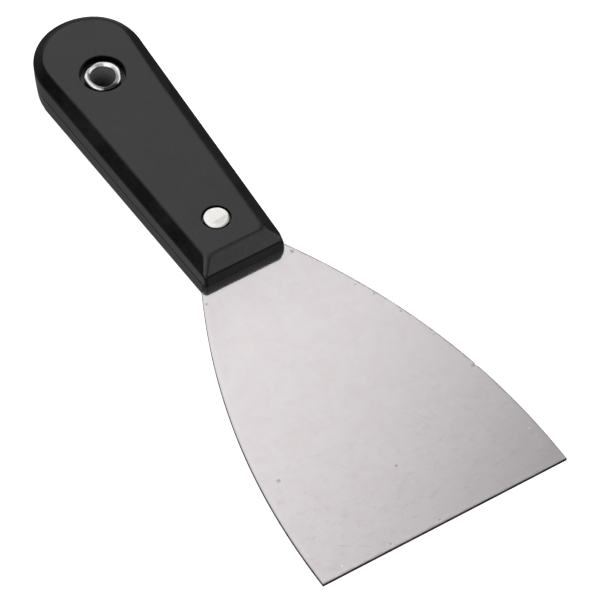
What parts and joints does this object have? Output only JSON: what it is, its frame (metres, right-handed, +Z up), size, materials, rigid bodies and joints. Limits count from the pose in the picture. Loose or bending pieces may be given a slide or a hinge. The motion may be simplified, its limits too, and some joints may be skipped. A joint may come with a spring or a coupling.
{
  "type": "flexible putty knife",
  "caption": "Flexible putty knife: flared sheet-steel blade with full tang between two riveted moulded handle scales, with a metal-lined hang hole in the round butt.",
  "frame": {"origin": "middle of the footprint of the whole knife, on the flat outer face of the back scale that it lies on", "axes": "+Y along the knife from the blade's working edge to the round butt, +Z up out of the front scale's flat face, +X across the blade"},
  "size_m": [0.0762, 0.1962, 0.013],
  "materials": {
    "blade_steel": "satin",
    "handle_plastic": "satin",
    "rivet_metal": "satin",
    "eyelet_metal": "polished"
  },
  "bodies": {
    "root": {"blade": "blade_steel", "front_scale": "handle_plastic", "back_scale": "handle_plastic", "rivet_stud": "rivet_metal", "rivet_cap": "rivet_metal", "eyelet_barrel": "eyelet_metal", "eyelet_washer": "eyelet_metal"}
  },
  "joints": []
}
